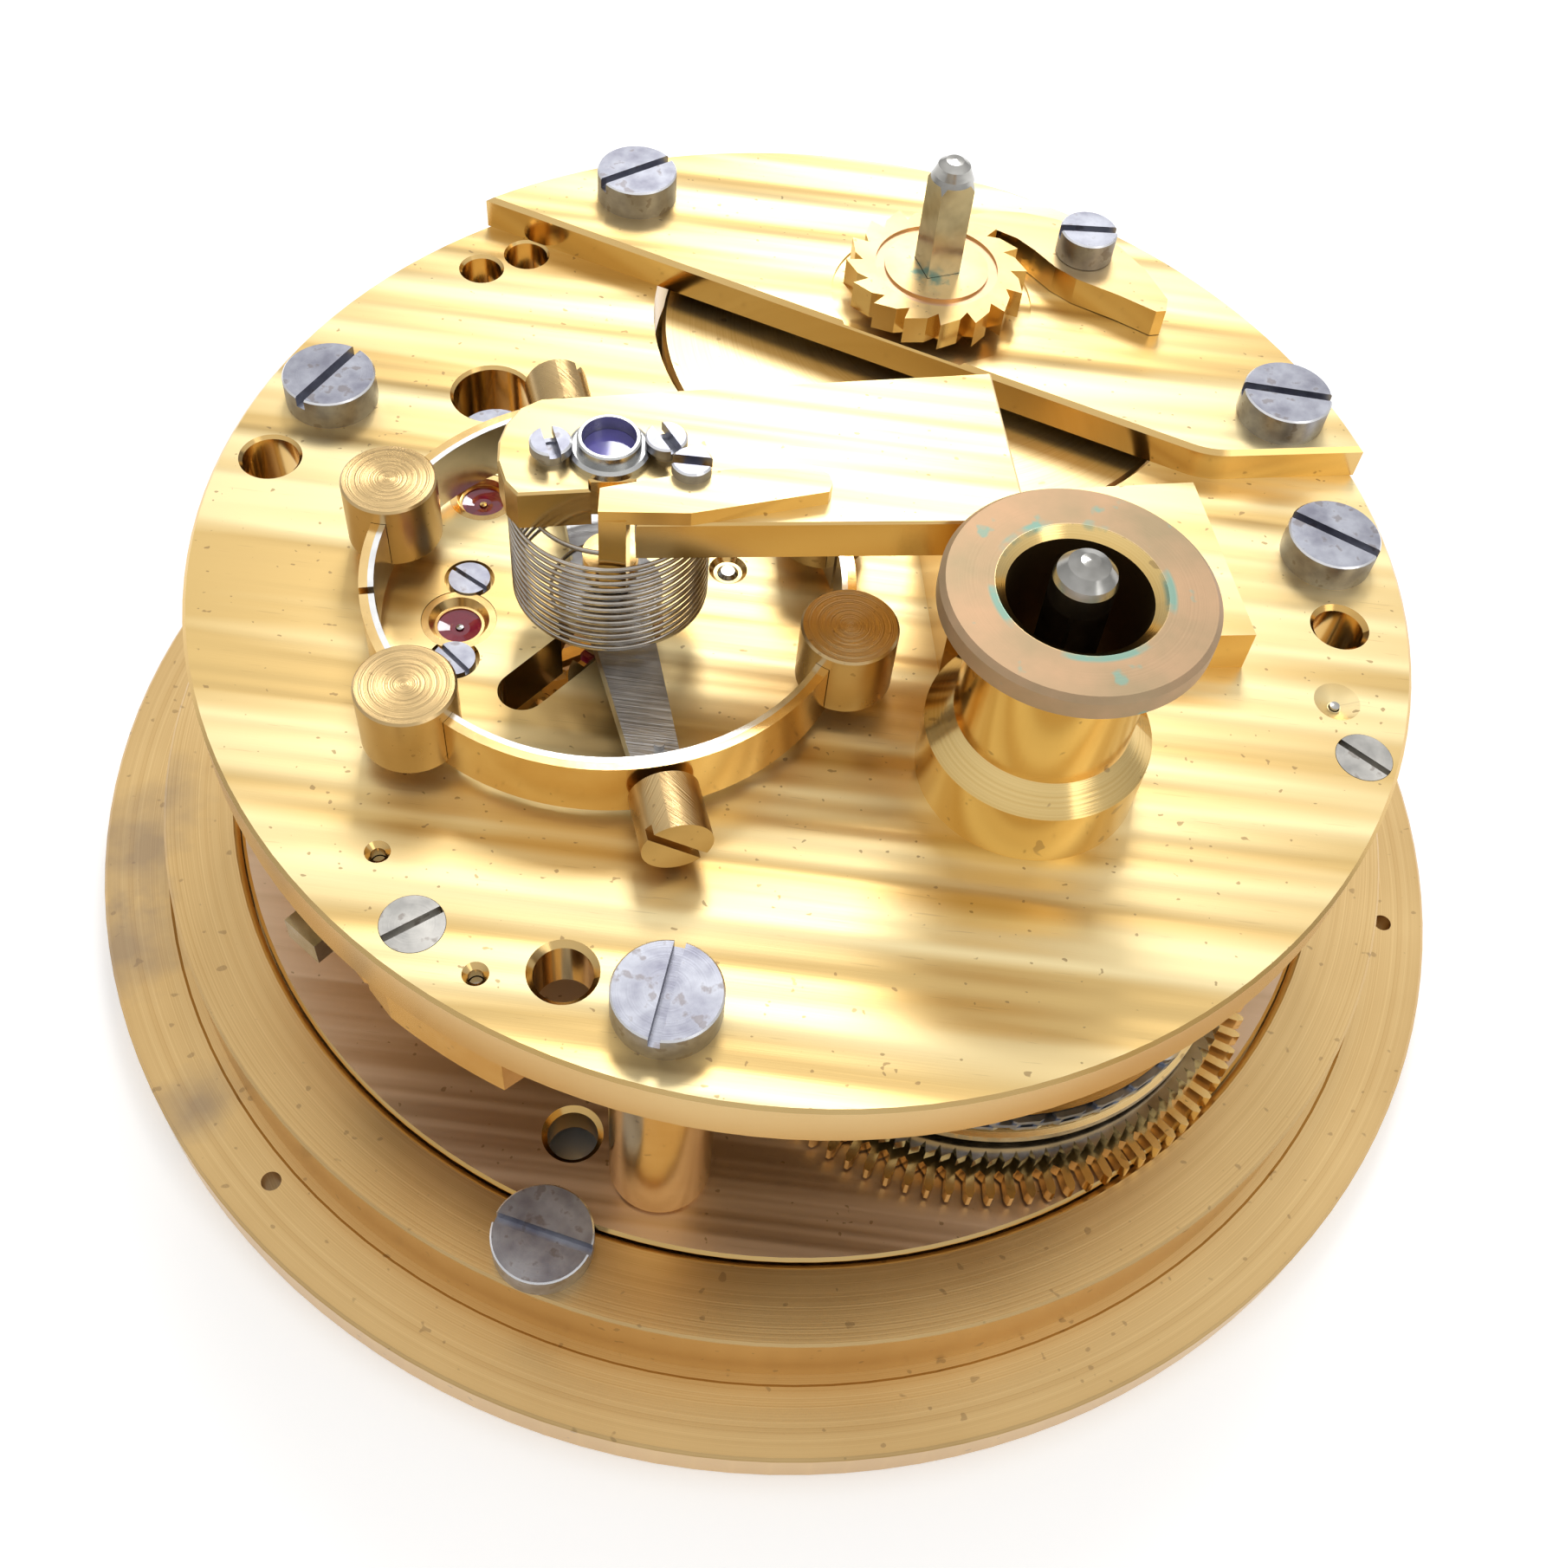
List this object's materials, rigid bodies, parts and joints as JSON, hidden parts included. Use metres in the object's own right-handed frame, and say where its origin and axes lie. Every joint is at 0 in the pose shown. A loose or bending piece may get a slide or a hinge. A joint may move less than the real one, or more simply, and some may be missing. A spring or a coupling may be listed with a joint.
{
  "type": "marine chronometer movement",
  "caption": "Marine chronometer movement with fusee and chain, spring detent escapement and split bimetallic balance, standing dial down on its dial ring.",
  "frame": {"origin": "centre of the dial ring's underside, where the movement stands dial down", "axes": "+Z from the dial to the balance cock, +Y to the mainspring barrel, +X to the fusee side"},
  "size_m": [0.114, 0.114, 0.0552],
  "materials": {
    "ring_brass": "lacquered brass, turned",
    "plate_brass": "lacquered brass, grained",
    "polished_brass": "polished brass",
    "drum_brass": "satin brass",
    "wheel_brass": "polished brass wheel work",
    "screw_steel": "grey steel, lightly tarnished",
    "arbor_steel": "polished steel",
    "chain_steel": "blued steel",
    "rim_steel": "bright steel",
    "spring_steel": "tempered steel",
    "setting_steel": "polished steel",
    "ruby": "red jewel",
    "sapphire": "blue jewel",
    "dial_silver": "silvered dial",
    "hand_blue": "blued steel hands"
  },
  "bodies": {
    "frame": {"dial_ring": "ring_brass", "dog_screws": "screw_steel", "pillar_plate": "plate_brass", "pillars": "polished_brass", "pillar_foot_screws": "screw_steel", "plate_screws": "screw_steel", "top_plate": "plate_brass", "flat_screws": "screw_steel", "jewel_settings": "polished_brass", "barrel_bridge": "plate_brass", "click_screw": "screw_steel", "balance_cock": "plate_brass", "cap_jewel_setting": "setting_steel", "cap_jewel": "sapphire", "bearing_jewels": "ruby", "small_screws": "screw_steel", "spring_stud_holder": "plate_brass", "balance_potence": "plate_brass", "detent_foot": "polished_brass", "steady_pins": "arbor_steel", "winding_tube": "polished_brass", "fusee_chain": "chain_steel", "balance_spring": "spring_steel", "dial": "dial_silver"},
    "balance": {"balance_staff": "arbor_steel", "spring_collet": "polished_brass", "balance_arm": "rim_steel", "balance_rim_steel": "rim_steel", "balance_rim_brass": "polished_brass", "compensation_weights": "polished_brass", "timing_nuts": "polished_brass", "balance_rollers": "arbor_steel", "impulse_stone": "ruby"},
    "detent": {"spring_detent": "arbor_steel"},
    "escape": {"escape_wheel": "wheel_brass", "escape_arbor": "arbor_steel"},
    "fourth": {"fourth_wheel": "wheel_brass", "seconds_hand": "hand_blue"},
    "third": {"third_wheel": "wheel_brass"},
    "centre": {"centre_wheel": "wheel_brass", "centre_arbor": "arbor_steel", "cannon_pinion": "arbor_steel", "minute_hand": "hand_blue"},
    "great": {"great_wheel": "wheel_brass", "maintaining_ratchet": "arbor_steel"},
    "motion": {"minute_wheel": "wheel_brass"},
    "hour": {"hour_wheel": "wheel_brass", "hour_hand": "hand_blue"},
    "fusee": {"fusee_cone": "polished_brass", "fusee_arbor": "arbor_steel"},
    "barrel": {"barrel_drum": "drum_brass", "barrel_cover": "drum_brass", "mainspring": "spring_steel"},
    "up_down": {"up_down_wheel": "wheel_brass", "up_down_hand": "hand_blue"},
    "ratchet": {"barrel_arbor": "arbor_steel", "ratchet_wheel": "polished_brass"},
    "click": {"ratchet_click": "polished_brass"},
    "maintaining": {"maintaining_detent": "arbor_steel"},
    "stop": {"fusee_stop_arm": "arbor_steel"}
  },
  "joints": [
    {"name": "balance_swing", "type": "hinge", "parent": "frame", "child": "balance", "pos_m": [-0.0133, -0.009, 0.038], "axis": [0, 0, 1], "range_deg": [-230, 230], "stiffness_Nm_per_rad": 0.0003},
    {"name": "fourth_turn", "type": "hinge", "parent": "frame", "child": "fourth", "pos_m": [-0.0246, 0.00145, 0.0224], "axis": [0, 0, 1], "continuous": true},
    {"name": "third_turn", "type": "hinge", "parent": "frame", "child": "third", "pos_m": [-0.0134, 0.00915, 0.0126], "axis": [0, 0, 1], "continuous": true},
    {"name": "centre_turn", "type": "hinge", "parent": "frame", "child": "centre", "pos_m": [0, 0, 0.0092], "axis": [0, 0, 1], "continuous": true},
    {"name": "great_turn", "type": "hinge", "parent": "frame", "child": "great", "pos_m": [0.01645, -0.0172, 0.0112], "axis": [0, 0, 1], "continuous": true},
    {"name": "escape_turn", "type": "hinge", "parent": "frame", "child": "escape", "pos_m": [-0.02385, -0.01057, 0.0278], "axis": [0, 0, 1], "continuous": true},
    {"name": "motion_turn", "type": "hinge", "parent": "frame", "child": "motion", "pos_m": [0, 0.0072, 0.0064], "axis": [0, 0, 1], "continuous": true},
    {"name": "hour_turn", "type": "hinge", "parent": "frame", "child": "hour", "pos_m": [0, 0, 0.0053], "axis": [0, 0, 1], "continuous": true},
    {"name": "fusee_wind", "type": "hinge", "parent": "frame", "child": "fusee", "pos_m": [0.01645, -0.0172, 0.02], "axis": [0, 0, 1], "range_deg": [-1080, 1080]},
    {"name": "barrel_turn", "type": "hinge", "parent": "frame", "child": "barrel", "pos_m": [0.0073, 0.0273, 0.022], "axis": [0, 0, 1], "range_deg": [-681, 681]},
    {"name": "up_down_turn", "type": "hinge", "parent": "frame", "child": "up_down", "pos_m": [0.0246, -0.00145, 0.0063], "axis": [0, 0, 1], "range_deg": [-143, 143]},
    {"name": "ratchet_wind", "type": "hinge", "parent": "frame", "child": "ratchet", "pos_m": [0.0073, 0.0273, 0.039], "axis": [0, 0, 1], "range_deg": [0, 20]},
    {"name": "click_lift", "type": "hinge", "parent": "frame", "child": "click", "pos_m": [0.0193, 0.0321, 0.0384], "axis": [0, 0, 1], "range_deg": [-8, 0]},
    {"name": "detent_flex", "type": "hinge", "parent": "frame", "child": "detent", "pos_m": [-0.02598, -0.02698, 0.0258], "axis": [0, 0, 1], "range_deg": [-3, 0], "stiffness_Nm_per_rad": 0.0005},
    {"name": "maintaining_lift", "type": "hinge", "parent": "frame", "child": "maintaining", "pos_m": [0.0387, -0.0079, 0.0135], "axis": [0, 0, 1], "range_deg": [0, 6], "stiffness_Nm_per_rad": 0.0005},
    {"name": "stop_lift", "type": "hinge", "parent": "frame", "child": "stop", "pos_m": [0.027, -0.0334, 0.0292], "axis": [0, 0, 1], "range_deg": [0, 6], "stiffness_Nm_per_rad": 0.001}
  ],
  "couplings": [
    {"joint": "third_turn", "follows": "fourth_turn", "ratio": -0.13333},
    {"joint": "centre_turn", "follows": "fourth_turn", "ratio": 0.016667},
    {"joint": "great_turn", "follows": "fourth_turn", "ratio": -0.0018519},
    {"joint": "escape_turn", "follows": "fourth_turn", "ratio": -8},
    {"joint": "motion_turn", "follows": "fourth_turn", "ratio": -0.0055556},
    {"joint": "hour_turn", "follows": "fourth_turn", "ratio": 0.0013889},
    {"joint": "barrel_turn", "follows": "fusee_wind", "ratio": 0.63},
    {"joint": "up_down_turn", "follows": "fusee_wind", "ratio": -0.13158},
    {"joint": "click_lift", "follows": "ratchet_wind", "ratio": -0.4}
  ]
}
